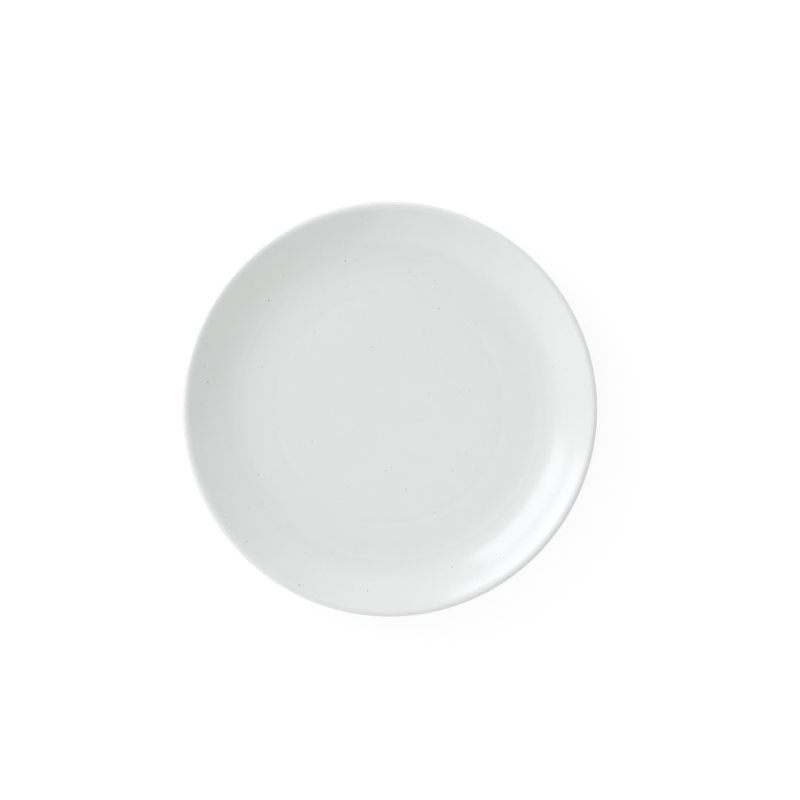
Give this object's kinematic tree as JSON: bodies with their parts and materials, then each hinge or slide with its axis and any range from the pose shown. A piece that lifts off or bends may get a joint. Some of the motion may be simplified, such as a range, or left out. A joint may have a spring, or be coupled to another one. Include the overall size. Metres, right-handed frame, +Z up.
{
  "type": "coupe plate",
  "caption": "Round white coupe plate with a flat well, a wall that rises in one smooth curve to a rounded lip, and a low foot ring, for serving food.",
  "frame": {"origin": "on the plate's axis, in the plane that the foot ring stands on", "axes": "+Z up along the plate's axis; X and Y are free, because the plate is round"},
  "size_m": [0.162, 0.162, 0.02],
  "materials": {
    "bare_stoneware": "bare fired stoneware, wiped clean of glaze and ground smooth",
    "face_glaze": "satin white glaze with a few fine dark specks",
    "back_glaze": "satin white glaze with a few fine dark specks"
  },
  "bodies": {
    "root": {"clay_body": "bare_stoneware", "face_glaze": "face_glaze", "back_glaze": "back_glaze", "recess_glaze": "back_glaze"}
  },
  "joints": []
}
